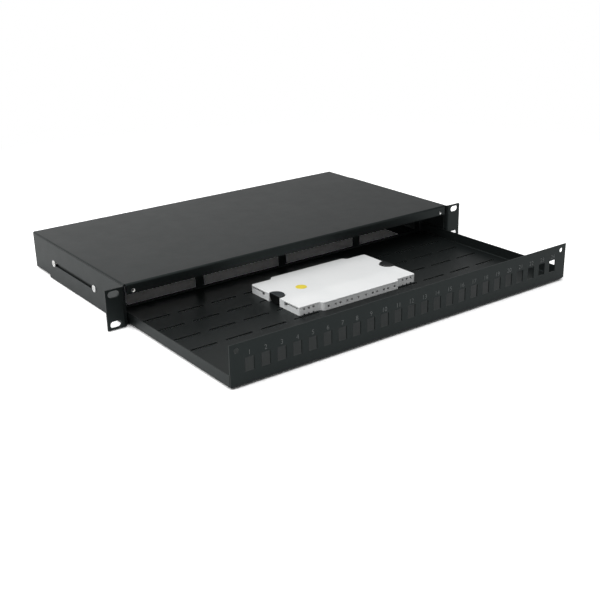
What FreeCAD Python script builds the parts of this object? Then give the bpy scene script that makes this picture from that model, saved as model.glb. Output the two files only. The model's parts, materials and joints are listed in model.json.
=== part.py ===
"""A one-unit sliding fibre patch panel with 24 adapter ports and a splice tray, in millimetres.

X runs along the rack's width, Y from front to rear and Z up. The origin is the middle of the four rack slots,
on the front face of the ears. The drawer stands pulled out, with its front panel ahead of the ears.
"""
import FreeCAD, Part
import math
import os
from types import SimpleNamespace
import Sketcher

DRIVING_SIZES = {
    # rack ears
    "rack_width": 482.6,
    "rack_slot_inset": 8.75,
    "rack_slot_drop": 5.425,
    "rack_slot_length": 12.0,
    "rack_slot_width": 7.0,
    "ear_reach": 21.7,
    "ear_trim": 0.9,
    "ear_sheet": 2.0,
    "ear_bend": 2.0,
    "leg_rear_gap": 43.6,
    "leg_slot_width": 4.4,
    "leg_slot_margin": 3.2,
    # sleeve
    "sheet_thickness": 1.2,
    "bend_radius": 0.8,
    "sleeve_height": 44.4,
    "sleeve_depth": 231.6,
    "lip_drop": 11.0,
    "runner_width": 27.5,
    "runner_start": 6.0,
    "runner_rear_gap": 45.6,
    "side_edge_rise": 2.4,
    # fasteners
    "screw_radius": 2.0,
    "screw_head_radius": 3.9,
    "screw_head_height": 1.6,
    "screw_crown": 0.6,
    "thread_gap": 0.15,
    "ear_screw_front": 68.6,
    "ear_screw_rear_margin": 16.5,
    "ear_screw_drop": 0.6,
    "ear_nut_radius": 3.9,
    "ear_nut_height": 3.0,
    "nut_spigot_wall": 0.7,
    "spigot_gap": 0.05,
    "lock_screw_radius": 1.5,
    "lock_nut_radius": 3.0,
    "lock_nut_height": 2.0,
    "lock_nut_rise": 3.2,
    "lock_inset": 7.2,
    # drawer
    "drawer_overlap": 43.2,
    "drawer_rear_gap": 3.2,
    "panel_gap": 0.3,
    "panel_top_gap": 2.1,
    "runner_gap": 0.3,
    "side_gap": 1.2,
    "roof_gap": 0.5,
    "nut_gap": 1.8,
    "fold_gap": 0.6,
    "wall_height": 12.5,
    "port_count": 24,
    "port_row_margin": 20.55,
    "port_width": 9.5,
    "port_height": 13.2,
    "port_drop": 1.4,
    "lock_hole_radius": 2.6,
    "lock_hole_drop": 0.6,
    "window_sill": 3.7,
    "window_rail": 8.0,
    "window_post": 10.0,
    "window_end_post": 8.0,
    "inner_window_share": 0.526,
    "floor_slots_a_side": 5,
    "floor_slot_middle": 55.0,
    "floor_slot_margin": 27.7,
    "floor_slot_bridge": 9.5,
    "floor_slot_width": 3.0,
    "floor_rows": 4,
    "floor_row_first": 90.8,
    "floor_row_rear": 46.1,
    # splice tray
    "tray_across": 4.7,
    "tray_from_rear": 90.6,
    "tray_length": 158.0,
    "tray_end_width": 86.6,
    "tray_bulge": 4.9,
    "tray_shoulder_start": 24.0,
    "tray_shoulder_run": 7.0,
    "tray_corner": 2.4,
    "tray_wall": 1.4,
    "tray_floor": 1.2,
    "tray_base_height": 7.5,
    "lid_thickness": 1.5,
    "lid_gap": 0.2,
    "lid_rib_end_gap": 3.0,
    "lid_rib_depth": 1.4,
    "lid_rib_wall": 1.0,
    "lid_rib_gap": 0.3,
    "lid_edge_round": 0.5,
    "clip_radius": 9.0,
    "clip_straight": 2.4,
    "clip_gap": 0.3,
    "clip_proud": 0.2,
    "clip_rise": 1.2,
    "clip_edge_round": 1.0,
    "tray_hole": 2.4,
    "middle_hole_pairs": 3,
    "middle_hole_first": 5.1,
    "middle_hole_step": 9.2,
    "middle_hole_end_gap": 3.1,
    "middle_hole_rise": 3.8,
    "corner_hole_count": 3,
    "corner_hole_start": 6.4,
    "corner_hole_end_gap": 5.8,
    "corner_hole_drop": 1.7,
    "foot_gap": 2.0,
    "foot_height": 1.0,
    "entry_start": 17.7,
    "entry_width": 5.0,
    "entry_height": 3.6,
    "entry_band_height": 1.6,
    "guide_radius": 20.0,
    "guide_wall": 1.2,
    "guide_height": 3.4,
    "guide_end_gap": 1.7,
    "guide_opening": 12.0,
    "holder_length": 30.0,
    "holder_width": 30.0,
    "holder_height": 3.6,
    "holder_between": 4.0,
    "groove_count": 6,
    "groove_end_wall": 1.7,
    "groove_width": 2.6,
    "groove_depth": 2.6,
}

doc = FreeCAD.newDocument("fibre_patch_panel")
sheet = doc.addObject("Spreadsheet::Sheet", "sheet")
for row, (alias, number) in enumerate(DRIVING_SIZES.items(), start=1):
    sheet.set(f"A{row}", alias)
    sheet.set(f"B{row}", str(number))
    sheet.setAlias(f"B{row}", alias)
doc.recompute()


class Size:
    """A cell of the sheet, or a formula of cells: the text drives a feature and the value starts a sketch."""

    def __init__(self, text, value):
        self.text = text
        self.value = value

    def joined(self, sign, other, value):
        """Return the formula "self sign other", whose value the caller works out."""
        return Size(f"({self.text} {sign} {other.text})", value)

    def __add__(self, other):
        other = as_size(other)
        return self.joined("+", other, self.value + other.value)

    def __sub__(self, other):
        other = as_size(other)
        return self.joined("-", other, self.value - other.value)

    def __mul__(self, other):
        other = as_size(other)
        return self.joined("*", other, self.value * other.value)

    def __truediv__(self, other):
        other = as_size(other)
        return self.joined("/", other, self.value / other.value)

    def __neg__(self):
        return Size(f"(-1 * {self.text})", -self.value)


def as_size(number):
    """Return a plain number as a Size, and a Size as it is."""
    if isinstance(number, Size):
        return number
    return Size(str(number), number)


d = SimpleNamespace()
for alias in DRIVING_SIZES:
    setattr(d, alias, Size(f"sheet.{alias}", float(getattr(sheet, alias))))

PLANE_ROLES = {"XY": "XY_Plane", "XZ": "XZ_Plane", "YZ": "YZ_Plane"}
BEYOND = 1.0  # how far a cutting tool runs past the faces that it cuts

parts = []


def new_part(label):
    """Start a sub-part, whose label names its file."""
    body = doc.addObject("PartDesign::Body", label)
    body.Label = label
    parts.append(body)
    return body


def origin_feature(body, role):
    """Return one of the body's own origin planes or axes."""
    return [item for item in body.Origin.OriginFeatures if item.Role == role][0]


def pin_point(sketch, geometry, point, x, y):
    """Hold a sketch point at the formulas x and y, measured from the sketch's origin."""
    for kind, place in (("DistanceX", as_size(x)), ("DistanceY", as_size(y))):
        index = sketch.addConstraint(Sketcher.Constraint(kind, -1, 1, geometry, point, place.value))
        sketch.setExpression(f"Constraints[{index}]", place.text)


def arc_between(start, end, radius):
    """Return the arc of under half a turn from start to end: to the left for a positive radius."""
    chord = end - start
    middle = (start + end) * 0.5
    left = FreeCAD.Vector(-chord.y, chord.x, 0).normalize()
    reach = math.sqrt(max(radius ** 2 - (chord.Length / 2) ** 2, 0))
    centre = middle + left * math.copysign(reach, radius)
    first, last = (start, end) if radius > 0 else (end, start)
    angles = [math.atan2(point.y - centre.y, point.x - centre.x) for point in (first, last)]
    circle = Part.Circle(centre, FreeCAD.Vector(0, 0, 1), abs(radius))
    return Part.ArcOfCircle(circle, angles[0], angles[1])


def draw_loop(sketch, corners):
    """Draw one closed outline. A corner is (x, y), or (x, y, radius) where an arc leads to the next one."""
    starts = []
    ends = []
    for index, corner in enumerate(corners):
        following = corners[(index + 1) % len(corners)]
        start = FreeCAD.Vector(as_size(corner[0]).value, as_size(corner[1]).value, 0)
        end = FreeCAD.Vector(as_size(following[0]).value, as_size(following[1]).value, 0)
        if len(corner) == 2:
            geometry = sketch.addGeometry(Part.LineSegment(start, end))
            starts.append((geometry, 1))
            ends.append((geometry, 2))
            continue
        radius = corner[2]
        geometry = sketch.addGeometry(arc_between(start, end, radius.value))
        turned = radius.value < 0
        starts.append((geometry, 2 if turned else 1))
        ends.append((geometry, 1 if turned else 2))
        size = -radius if turned else radius
        hold = sketch.addConstraint(Sketcher.Constraint("Radius", geometry, size.value))
        sketch.setExpression(f"Constraints[{hold}]", size.text)
    for index, corner in enumerate(corners):
        sketch.addConstraint(Sketcher.Constraint("Coincident", *ends[index - 1], *starts[index]))
        pin_point(sketch, *starts[index], corner[0], corner[1])


def draw_circle(sketch, x, y, radius):
    """Draw one circle round the point x, y."""
    centre = FreeCAD.Vector(as_size(x).value, as_size(y).value, 0)
    geometry = sketch.addGeometry(Part.Circle(centre, FreeCAD.Vector(0, 0, 1), radius.value))
    pin_point(sketch, geometry, 3, x, y)
    hold = sketch.addConstraint(Sketcher.Constraint("Radius", geometry, radius.value))
    sketch.setExpression(f"Constraints[{hold}]", radius.text)


def new_sketch(body, name, plane, at):
    """Start a sketch parallel to one of the body's planes, where the plane's normal axis has the value at."""
    sketch = body.newObject("Sketcher::SketchObject", f"{body.Label}_{name}_sketch")
    sketch.AttachmentSupport = [(origin_feature(body, PLANE_ROLES[plane]), "")]
    sketch.MapMode = "FlatFace"
    along_normal = -as_size(at) if plane == "XZ" else as_size(at)
    sketch.setExpression("AttachmentOffset.Base.z", along_normal.text)
    return sketch


def extrude(body, kind, name, plane, at, length, loops, circles):
    """Make a Pad or a Pocket that runs from its sketch towards larger values of the plane's normal axis."""
    sketch = new_sketch(body, name, plane, at)
    for corners in loops:
        draw_loop(sketch, corners)
    for circle in circles:
        draw_circle(sketch, *circle)
    feature = body.newObject(f"PartDesign::{kind}", f"{body.Label}_{name}")
    feature.Profile = sketch
    feature.Reversed = (plane == "XZ") == (kind == "Pad")
    feature.setExpression("Length", as_size(length).text)
    return feature


def add(body, name, plane, at, length, loops=(), circles=()):
    """Add material over closed outlines and circles."""
    return extrude(body, "Pad", name, plane, at, length, loops, circles)


def cut(body, name, plane, at, length, loops=(), circles=()):
    """Take material away over closed outlines and circles."""
    return extrude(body, "Pocket", name, plane, at, length, loops, circles)


def repeat(body, name, features, axis, length, count, axis2=None, length2=None, count2=None):
    """Repeat features in a row along one axis of the body, or in a grid along two."""
    pattern = body.newObject("PartDesign::LinearPattern", f"{body.Label}_{name}")
    pattern.Originals = features
    pattern.Direction = (origin_feature(body, axis), [""])
    pattern.setExpression("Length", length.text)
    pattern.setExpression("Occurrences", count.text)
    if axis2:
        pattern.Direction2 = (origin_feature(body, axis2), [""])
        pattern.setExpression("Length2", length2.text)
        pattern.setExpression("Occurrences2", count2.text)
    body.Tip = pattern
    return pattern


def revolve(body, name, corners):
    """Turn a closed outline in the XZ plane round the body's Z axis."""
    sketch = new_sketch(body, name, "XZ", 0)
    draw_loop(sketch, corners)
    feature = body.newObject("PartDesign::Revolution", f"{body.Label}_{name}")
    feature.Profile = sketch
    feature.ReferenceAxis = (sketch, ["V_Axis"])
    feature.Angle = 360
    return feature


def round_top(body, feature, radius):
    """Round all the edges of a feature's top face."""
    doc.recompute()
    edge_floor = feature.Shape.BoundBox.ZMax - radius.value
    edges = enumerate(feature.Shape.Edges, start=1)
    top_edges = [f"Edge{index}" for index, edge in edges if edge.BoundBox.ZMin > edge_floor]
    fillet = body.newObject("PartDesign::Fillet", f"{body.Label}_rounded")
    fillet.Base = (feature, top_edges)
    fillet.setExpression("Radius", radius.text)


def place(body, x, y, z, rotation=FreeCAD.Rotation()):
    """Set a body's Placement from formulas."""
    body.Placement = FreeCAD.Placement(FreeCAD.Vector(), rotation)
    for axis, value in (("x", x), ("y", y), ("z", z)):
        body.setExpression(f"Placement.Base.{axis}", as_size(value).text)


def rectangle(x, y, width, height):
    """Return the outline of a rectangle round the point x, y."""
    left = x - width / 2
    right = x + width / 2
    low = y - height / 2
    high = y + height / 2
    return [(left, low), (right, low), (right, high), (left, high)]


def obround(x, y, length, width):
    """Return the outline of a slot with round ends, along the sketch's first axis."""
    end = width / 2
    straight = length / 2 - end
    return [
        (x - straight, y - end),
        (x + straight, y - end, end),
        (x + straight + end, y, end),
        (x + straight, y + end),
        (x - straight, y + end, end),
        (x - straight - end, y, end),
    ]


def mirrored(corners):
    """Mirror an outline about the sketch's second axis, passed backwards so that it still turns left."""
    points = [(-corner[0], corner[1]) for corner in reversed(corners)]
    radii = [corner[2:] for corner in corners]
    radii = radii[-2::-1] + radii[-1:]
    return [point + radius for point, radius in zip(points, radii)]


def folded_sheet(points, thickness, radius):
    """Return the section of a sheet folded at right angles.

    The points are the outer corners, passed so that each fold turns left and the sheet lies on the left.
    """
    outer = []
    inner = []
    steps = []
    for start, end in zip(points, points[1:]):
        step_x = as_size(end[0]).value - as_size(start[0]).value
        step_y = as_size(end[1]).value - as_size(start[1]).value
        length = math.hypot(step_x, step_y)
        steps.append((round(step_x / length), round(step_y / length)))
    last = len(points) - 1
    for index, (x, y) in enumerate(points):
        if index in (0, last):
            run_x, run_y = steps[min(index, last - 1)]
            outer.append((x, y))
            inner.append((x - thickness * run_y, y + thickness * run_x))
            continue
        in_x, in_y = steps[index - 1]
        out_x, out_y = steps[index]
        bend = radius + thickness
        outer.append((x - bend * in_x, y - bend * in_y, bend))
        outer.append((x + bend * out_x, y + bend * out_y))
        inner_x = x - thickness * (in_y + out_y)
        inner_y = y + thickness * (in_x + out_x)
        inner.append((inner_x - radius * in_x, inner_y - radius * in_y))
        inner.append((inner_x + radius * out_x, inner_y + radius * out_y, -radius))
    return outer + inner[::-1]


# Places that several sub-parts share
zero = as_size(0)
sheet_bend = d.bend_radius + d.sheet_thickness
sleeve_half = d.rack_width / 2 - d.ear_reach
sleeve_inside = sleeve_half - d.sheet_thickness
sleeve_top = d.sleeve_height / 2
sleeve_bottom = -sleeve_top
lip_face = d.sheet_thickness + d.panel_gap
lip_back = lip_face + d.sheet_thickness
leg_length = d.sleeve_depth - d.leg_rear_gap
ear_screw_z = -d.ear_screw_drop
ear_screw_places = {"front": d.ear_screw_front, "rear": leg_length - d.ear_screw_rear_margin}
ear_spigot_radius = d.screw_radius + d.thread_gap + d.nut_spigot_wall
lock_spigot_radius = d.lock_screw_radius + d.thread_gap + d.nut_spigot_wall
drawer_half = sleeve_inside - d.side_gap
drawer_depth = d.sleeve_depth - d.drawer_rear_gap
drawer_y = d.drawer_overlap - drawer_depth
drawer_z = sleeve_bottom + d.sheet_thickness + d.runner_gap
lock_across = drawer_half - d.lock_inset
lock_z = sleeve_top - d.lip_drop + d.lock_nut_rise
tray_y = drawer_y + drawer_depth - d.tray_from_rear
tray_z = drawer_z + d.sheet_thickness
tray_half = d.tray_length / 2
tray_end_half = d.tray_end_width / 2
tray_middle_half = tray_end_half + d.tray_bulge
shoulder_start = tray_half - d.tray_shoulder_start
shoulder_end = shoulder_start - d.tray_shoulder_run
notch_x = tray_half - d.clip_straight
lid_bottom = d.tray_base_height + d.lid_gap
lid_top = lid_bottom + d.lid_thickness
SIDES = {"left": -1, "right": 1}


def build_sleeve():
    """The fixed case: one sheet folded into a top, two sides, a front lip and two inward runners."""
    body = new_part("sleeve")
    runner_edge = sleeve_half - d.runner_width
    wrap = folded_sheet(
        [
            (runner_edge, sleeve_bottom),
            (sleeve_half, sleeve_bottom),
            (sleeve_half, sleeve_top),
            (-sleeve_half, sleeve_top),
            (-sleeve_half, sleeve_bottom),
            (-runner_edge, sleeve_bottom),
        ],
        d.sheet_thickness,
        d.bend_radius,
    )
    wrap_front = lip_face + sheet_bend
    add(body, "wrap", "XZ", wrap_front, d.sleeve_depth - wrap_front, [wrap])
    lip = folded_sheet(
        [
            (wrap_front + sheet_bend, sleeve_top),
            (lip_face, sleeve_top),
            (lip_face, sleeve_top - d.lip_drop),
        ],
        d.sheet_thickness,
        d.bend_radius,
    )
    lip_half = sleeve_half - sheet_bend
    add(body, "lip", "YZ", -lip_half, lip_half * 2, [lip])

    # Ahead of the runners and behind them, the sides' lower edges are cut back from the bend
    relief_height = d.side_edge_rise + BEYOND
    relief_z = sleeve_bottom - BEYOND + relief_height / 2
    tool_width = sleeve_half * 2 + 2 * BEYOND
    relief = rectangle(zero, relief_z, tool_width, relief_height)
    runner_end = d.sleeve_depth - d.runner_rear_gap
    cut(body, "front_relief", "XZ", zero, d.runner_start, [relief])
    cut(body, "rear_relief", "XZ", runner_end, d.sleeve_depth + BEYOND - runner_end, [relief])

    lock_hole = lock_spigot_radius + d.spigot_gap
    lock_holes = [(lock_across * side, lock_z, lock_hole) for side in SIDES.values()]
    cut(body, "lock_holes", "XZ", lip_face - BEYOND, d.sheet_thickness + 2 * BEYOND, circles=lock_holes)
    ear_hole = ear_spigot_radius + d.spigot_gap
    ear_holes = [(y, ear_screw_z, ear_hole) for y in ear_screw_places.values()]
    cut(body, "ear_holes", "YZ", -tool_width / 2, tool_width, circles=ear_holes)


def build_ear_bracket(name, side):
    """A rack ear: an angle with two rack slots in its face and one long slot in the leg along the sleeve."""
    body = new_part(f"ear_bracket_{name}")
    points = [(sleeve_half, leg_length), (sleeve_half, zero), (d.rack_width / 2, zero)]
    angle = folded_sheet(points, d.ear_sheet, d.ear_bend)
    if side < 0:
        angle = mirrored(angle)
    ear_top = sleeve_top - d.ear_trim
    add(body, "angle", "XY", -ear_top, ear_top * 2, [angle])
    slot_x = (d.rack_width / 2 - d.rack_slot_inset) * side
    rack_slots = []
    for level in (-1, 1):
        slot_z = (ear_top - d.rack_slot_drop) * level
        rack_slots.append(obround(slot_x, slot_z, d.rack_slot_length, d.rack_slot_width))
    cut(body, "rack_slots", "XZ", as_size(-BEYOND), d.ear_sheet + 2 * BEYOND, rack_slots)
    slot_middle = (ear_screw_places["front"] + ear_screw_places["rear"]) / 2
    slot_length = ear_screw_places["rear"] - ear_screw_places["front"] + d.leg_slot_margin * 2
    leg_slot = obround(slot_middle, ear_screw_z, slot_length, d.leg_slot_width)
    leg_middle = (sleeve_half + d.ear_sheet / 2) * side
    tool_length = d.ear_sheet + 2 * BEYOND
    cut(body, "leg_slot", "YZ", leg_middle - tool_length / 2, tool_length, [leg_slot])


def build_ear_screw(name, side, end, y):
    """A collared pan-head screw through the ear's slot, its head bearing on the leg."""
    body = new_part(f"ear_screw_{name}_{end}")
    shank = d.ear_sheet + d.sheet_thickness + d.ear_nut_height
    head_square = d.screw_head_radius * d.screw_head_radius
    crown_radius = (head_square + d.screw_crown * d.screw_crown) / (d.screw_crown * 2)
    section = [
        (zero, -shank),
        (d.screw_radius, -shank),
        (d.screw_radius, zero),
        (d.screw_head_radius, zero),
        (d.screw_head_radius, d.screw_head_height - d.screw_crown, crown_radius),
        (zero, d.screw_head_height),
    ]
    revolve(body, "turned", section)
    outward = FreeCAD.Rotation(FreeCAD.Vector(0, 1, 0), 90 * side)
    place(body, (sleeve_half + d.ear_sheet) * side, y, ear_screw_z, outward)


def turn_clinch_nut(body, bore, spigot_radius, collar_radius, height):
    """A round clinch nut: its spigot fills the sheet's hole and its collar seats on the sheet's back."""
    section = [
        (bore, -height),
        (collar_radius, -height),
        (collar_radius, zero),
        (spigot_radius, zero),
        (spigot_radius, d.sheet_thickness),
        (bore, d.sheet_thickness),
    ]
    revolve(body, "turned", section)


def build_ear_nut(name, side, end, y):
    """The nut behind an ear screw, seated on the inside of the sleeve."""
    body = new_part(f"ear_nut_{name}_{end}")
    bore = d.screw_radius + d.thread_gap
    turn_clinch_nut(body, bore, ear_spigot_radius, d.ear_nut_radius, d.ear_nut_height)
    outward = FreeCAD.Rotation(FreeCAD.Vector(0, 1, 0), 90 * side)
    place(body, sleeve_inside * side, y, ear_screw_z, outward)


def build_lock_nut(name, side):
    """The nut in the lip that the closed drawer's panel is screwed to."""
    body = new_part(f"lock_nut_{name}")
    bore = d.lock_screw_radius + d.thread_gap
    turn_clinch_nut(body, bore, lock_spigot_radius, d.lock_nut_radius, d.lock_nut_height)
    forward = FreeCAD.Rotation(FreeCAD.Vector(1, 0, 0), 90)
    place(body, lock_across * side, lip_back, lock_z, forward)


def build_drawer_pan():
    """The sliding drawer: one sheet folded into floor, low side walls, port panel and windowed rear wall.

    Its own Y starts at the panel's front face and its own Z at the underside.
    """
    body = new_part("drawer_pan")
    trough = folded_sheet(
        [
            (-drawer_half, d.wall_height),
            (-drawer_half, zero),
            (drawer_half, zero),
            (drawer_half, d.wall_height),
        ],
        d.sheet_thickness,
        d.bend_radius,
    )
    trough_front = d.sheet_thickness + d.fold_gap
    add(body, "trough", "XZ", trough_front, drawer_depth - trough_front * 2, [trough])
    middle_y = drawer_depth / 2
    panel_height = d.sleeve_height - d.sheet_thickness - d.runner_gap - d.panel_top_gap
    panel_fold = folded_sheet(
        [(zero, panel_height), (zero, zero), (middle_y, zero)], d.sheet_thickness, d.bend_radius
    )
    floor_half = drawer_half - sheet_bend
    add(body, "panel_fold", "YZ", -floor_half, floor_half * 2, [panel_fold])
    flat_height = panel_height - sheet_bend
    panel = rectangle(zero, sheet_bend + flat_height / 2, drawer_half * 2, flat_height)
    add(body, "panel", "XZ", zero, d.sheet_thickness, [panel])

    # The rear wall runs just under the sleeve's roof, and its ends pass inside the ear nuts
    rear_height = d.sleeve_height - d.sheet_thickness * 2 - d.runner_gap - d.roof_gap
    rear_half = sleeve_inside - d.ear_nut_height - d.nut_gap
    rear_fold = folded_sheet(
        [(middle_y, zero), (drawer_depth, zero), (drawer_depth, rear_height)],
        d.sheet_thickness,
        d.bend_radius,
    )
    add(body, "rear_fold", "YZ", -rear_half, rear_half * 2, [rear_fold])
    window_height = rear_height - d.window_rail - d.window_sill
    window_z = d.window_sill + window_height / 2
    both_widths = rear_half - d.window_end_post - d.window_post * 3 / 2
    inner_width = both_widths * d.inner_window_share
    outer_width = both_widths - inner_width
    windows = []
    for side in SIDES.values():
        inner_x = (d.window_post + inner_width) / 2 * side
        windows.append(rectangle(inner_x, window_z, inner_width, window_height))
        outer_x = (rear_half - d.window_end_post - outer_width / 2) * side
        windows.append(rectangle(outer_x, window_z, outer_width, window_height))
    wall_tool = d.sheet_thickness + 2 * BEYOND
    cut(body, "windows", "XZ", drawer_depth - d.sheet_thickness - BEYOND, wall_tool, windows)

    lock_hole_z = lock_z - drawer_z - d.lock_hole_drop
    lock_holes = [(lock_across * side, lock_hole_z, d.lock_hole_radius) for side in SIDES.values()]
    cut(body, "lock_holes", "XZ", as_size(-BEYOND), wall_tool, circles=lock_holes)
    port_row = (drawer_half - d.port_row_margin) * 2
    port = rectangle(-port_row / 2, panel_height / 2 - d.port_drop, d.port_width, d.port_height)
    first_port = cut(body, "first_port", "XZ", as_size(-BEYOND), wall_tool, [port])
    repeat(body, "ports", [first_port], "X_Axis", port_row, d.port_count)

    slot_row = drawer_half - d.floor_slot_margin - d.floor_slot_middle / 2
    slot_length = slot_row / (d.floor_slots_a_side - 1) - d.floor_slot_bridge
    rows_depth = drawer_depth - d.floor_row_rear - d.floor_row_first
    for name, first_x in (
        ("left", -d.floor_slot_middle / 2 - slot_row),
        ("right", d.floor_slot_middle / 2),
    ):
        slot = obround(first_x, d.floor_row_first, slot_length, d.floor_slot_width)
        first_slot = cut(body, f"first_{name}_slot", "XY", as_size(-BEYOND), wall_tool, [slot])
        repeat(
            body, f"{name}_slots", [first_slot], "X_Axis", slot_row, d.floor_slots_a_side,
            "Y_Axis", rows_depth, d.floor_rows,
        )
    place(body, zero, drawer_y, drawer_z)


def tray_outline(inset):
    """The splice tray's outline, moved inwards by inset.

    Both long sides step out through two arcs at each shoulder, and each short end has a deep notch with a
    half-round bottom.
    """
    half = tray_half - inset
    end_half = tray_end_half - inset
    middle_half = tray_middle_half - inset
    corner = d.tray_corner - inset
    notch = d.clip_radius + d.clip_gap + inset
    run = d.tray_shoulder_run
    bulge = d.tray_bulge
    shoulder = (run * run + bulge * bulge) / (bulge * 4)
    shoulder_x = shoulder_start - run / 2
    shoulder_y = end_half + bulge / 2
    front = [
        (-notch_x, -notch),
        (-half, -notch),
        (-half, corner - end_half, corner),
        (corner - half, -end_half),
        (-shoulder_start, -end_half, -shoulder),
        (-shoulder_x, -shoulder_y, shoulder),
        (-shoulder_end, -middle_half),
        (shoulder_end, -middle_half, shoulder),
        (shoulder_x, -shoulder_y, -shoulder),
        (shoulder_start, -end_half),
        (half - corner, -end_half, corner),
        (half, corner - end_half),
        (half, -notch),
        (notch_x, -notch, -notch),
        (notch_x - notch, zero, -notch),
    ]
    rear = [(-point[0], -point[1]) + point[2:] for point in front]
    return front + rear


def build_tray_base():
    """The white splice tray: a moulded shell with fibre guides, side holes and fibre entries.

    Its own X and Y start at its middle and its own Z on the drawer's floor.
    """
    body = new_part("tray_base")
    add(body, "shell", "XY", zero, d.tray_base_height, [tray_outline(zero)])
    room = d.tray_base_height - d.tray_floor + BEYOND
    cut(body, "room", "XY", d.tray_floor, room, [tray_outline(d.tray_wall)])

    # Two rings lead the fibres round, and one gap along the tray's middle opens both
    notch_wall = notch_x - d.clip_radius - d.clip_gap - d.tray_wall
    guide_reach = notch_wall - d.guide_end_gap
    rings = []
    for side in SIDES.values():
        centre_x = (guide_reach - d.guide_radius) * side
        rings.append((centre_x, zero, d.guide_radius))
        rings.append((centre_x, zero, d.guide_radius - d.guide_wall))
    add(body, "guides", "XY", d.tray_floor, d.guide_height, circles=rings)
    gap = rectangle(zero, zero, guide_reach * 2, d.guide_opening)
    cut(body, "guide_gap", "XY", d.tray_floor, d.guide_height + BEYOND, [gap])

    # Both long walls have square holes in pairs, and near each corner holes above gaps between feet
    wall_tool = d.tray_wall + 2 * BEYOND
    pair_start = d.middle_hole_first + d.middle_hole_step
    middle_row = shoulder_end - d.middle_hole_end_gap - pair_start
    corner_row = d.tray_shoulder_start - d.corner_hole_start - d.corner_hole_end_gap
    corner_start = tray_half - d.corner_hole_start
    corner_z = d.tray_base_height - d.corner_hole_drop
    middle_loops = []
    for left_x in (-pair_start - middle_row, d.middle_hole_first):
        for hole_x in (left_x, left_x + d.middle_hole_step):
            middle_loops.append(rectangle(hole_x, d.middle_hole_rise, d.tray_hole, d.tray_hole))
    corner_loops = []
    for first_x in (-corner_start, corner_start - corner_row):
        corner_loops.append(rectangle(first_x, corner_z, d.tray_hole, d.tray_hole))
        corner_loops.append(rectangle(first_x, zero, d.foot_gap, d.foot_height * 2))
    middle_holes = []
    corner_holes = []
    for wall, sign in (("front", -1), ("rear", 1)):
        middle_tool = (tray_middle_half - d.tray_wall / 2) * sign - wall_tool / 2
        middle_holes.append(cut(body, f"{wall}_holes", "XZ", middle_tool, wall_tool, middle_loops))
        end_tool = (tray_end_half - d.tray_wall / 2) * sign - wall_tool / 2
        corner_holes.append(cut(body, f"{wall}_corner_holes", "XZ", end_tool, wall_tool, corner_loops))
    repeat(body, "middle_holes", middle_holes, "X_Axis", middle_row, d.middle_hole_pairs)
    repeat(body, "corner_holes", corner_holes, "X_Axis", corner_row, d.corner_hole_count)

    # Fibre entries in both short ends, and a low band from each to the corner, open under the lid's edge
    band_start = d.entry_start + d.entry_width
    band_width = tray_end_half - d.tray_corner - band_start
    entries = []
    bands = []
    for end_side in SIDES.values():
        entry_x = (tray_half - d.tray_wall / 2) * end_side
        for side in SIDES.values():
            entry_y = (d.entry_start + d.entry_width / 2) * side
            entries.append(rectangle(entry_x, entry_y, wall_tool, d.entry_width))
            band_y = (band_start + band_width / 2) * side
            bands.append(rectangle(entry_x, band_y, wall_tool, band_width))
    entry_low = d.tray_base_height - d.entry_height
    cut(body, "entries", "XY", entry_low, d.entry_height + BEYOND, entries)
    band_low = d.tray_base_height - d.entry_band_height
    cut(body, "bands", "XY", band_low, d.entry_band_height + BEYOND, bands)
    place(body, d.tray_across, tray_y, tray_z)


def build_splice_holder(name, side):
    """A comb of grooves for splice sleeves, seated on the tray's floor."""
    body = new_part(f"splice_holder_{name}")
    block = rectangle(zero, zero, d.holder_length, d.holder_width)
    add(body, "block", "XY", zero, d.holder_height, [block])
    groove_row = d.holder_width - d.groove_end_wall * 2 - d.groove_width
    groove_z = d.holder_height - d.groove_depth / 2 + BEYOND / 2
    groove = rectangle(-groove_row / 2, groove_z, d.groove_width, d.groove_depth + BEYOND)
    tool_length = d.holder_length + 2 * BEYOND
    first_groove = cut(body, "first_groove", "YZ", -tool_length / 2, tool_length, [groove])
    repeat(body, "grooves", [first_groove], "Y_Axis", groove_row, d.groove_count)
    holder_y = tray_y + (d.holder_between + d.holder_width) / 2 * side
    place(body, d.tray_across, holder_y, tray_z + d.tray_floor)


def build_tray_lid():
    """The tray's flat cover, with a round-edged top and a locating rib inside each long wall."""
    body = new_part("tray_lid")
    plate = add(body, "plate", "XY", lid_bottom, d.lid_thickness, [tray_outline(zero)])
    round_top(body, plate, d.lid_edge_round)
    rib_y = tray_middle_half - d.tray_wall - d.lid_rib_gap - d.lid_rib_wall / 2
    rib_length = (shoulder_end - d.lid_rib_end_gap) * 2
    ribs = [rectangle(zero, rib_y * side, rib_length, d.lid_rib_wall) for side in SIDES.values()]
    add(body, "ribs", "XY", lid_bottom - d.lid_rib_depth, d.lid_rib_depth, ribs)
    place(body, d.tray_across, tray_y, tray_z)


def build_lid_clip(name, side):
    """A round-nosed clip that fills the notch of lid and base at one short end, a little proud."""
    body = new_part(f"lid_clip_{name}")
    section = [
        (zero, -d.clip_radius),
        (d.clip_straight, -d.clip_radius, d.clip_radius),
        (d.clip_straight + d.clip_radius, zero, d.clip_radius),
        (d.clip_straight, d.clip_radius),
        (zero, d.clip_radius),
    ]
    if side > 0:
        section = mirrored(section)
    block = add(body, "block", "XY", d.clip_gap, lid_top + d.clip_rise - d.clip_gap, [section])
    round_top(body, block, d.clip_edge_round)
    place(body, d.tray_across + (tray_half + d.clip_proud) * side, tray_y, tray_z)


build_sleeve()
for name, side in SIDES.items():
    build_ear_bracket(name, side)
    build_lock_nut(name, side)
    for end, y in ear_screw_places.items():
        build_ear_screw(name, side, end, y)
        build_ear_nut(name, side, end, y)
build_drawer_pan()
build_tray_base()
for name, side in (("front", -1), ("rear", 1)):
    build_splice_holder(name, side)
build_tray_lid()
for name, side in SIDES.items():
    build_lid_clip(name, side)
doc.recompute()

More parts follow.
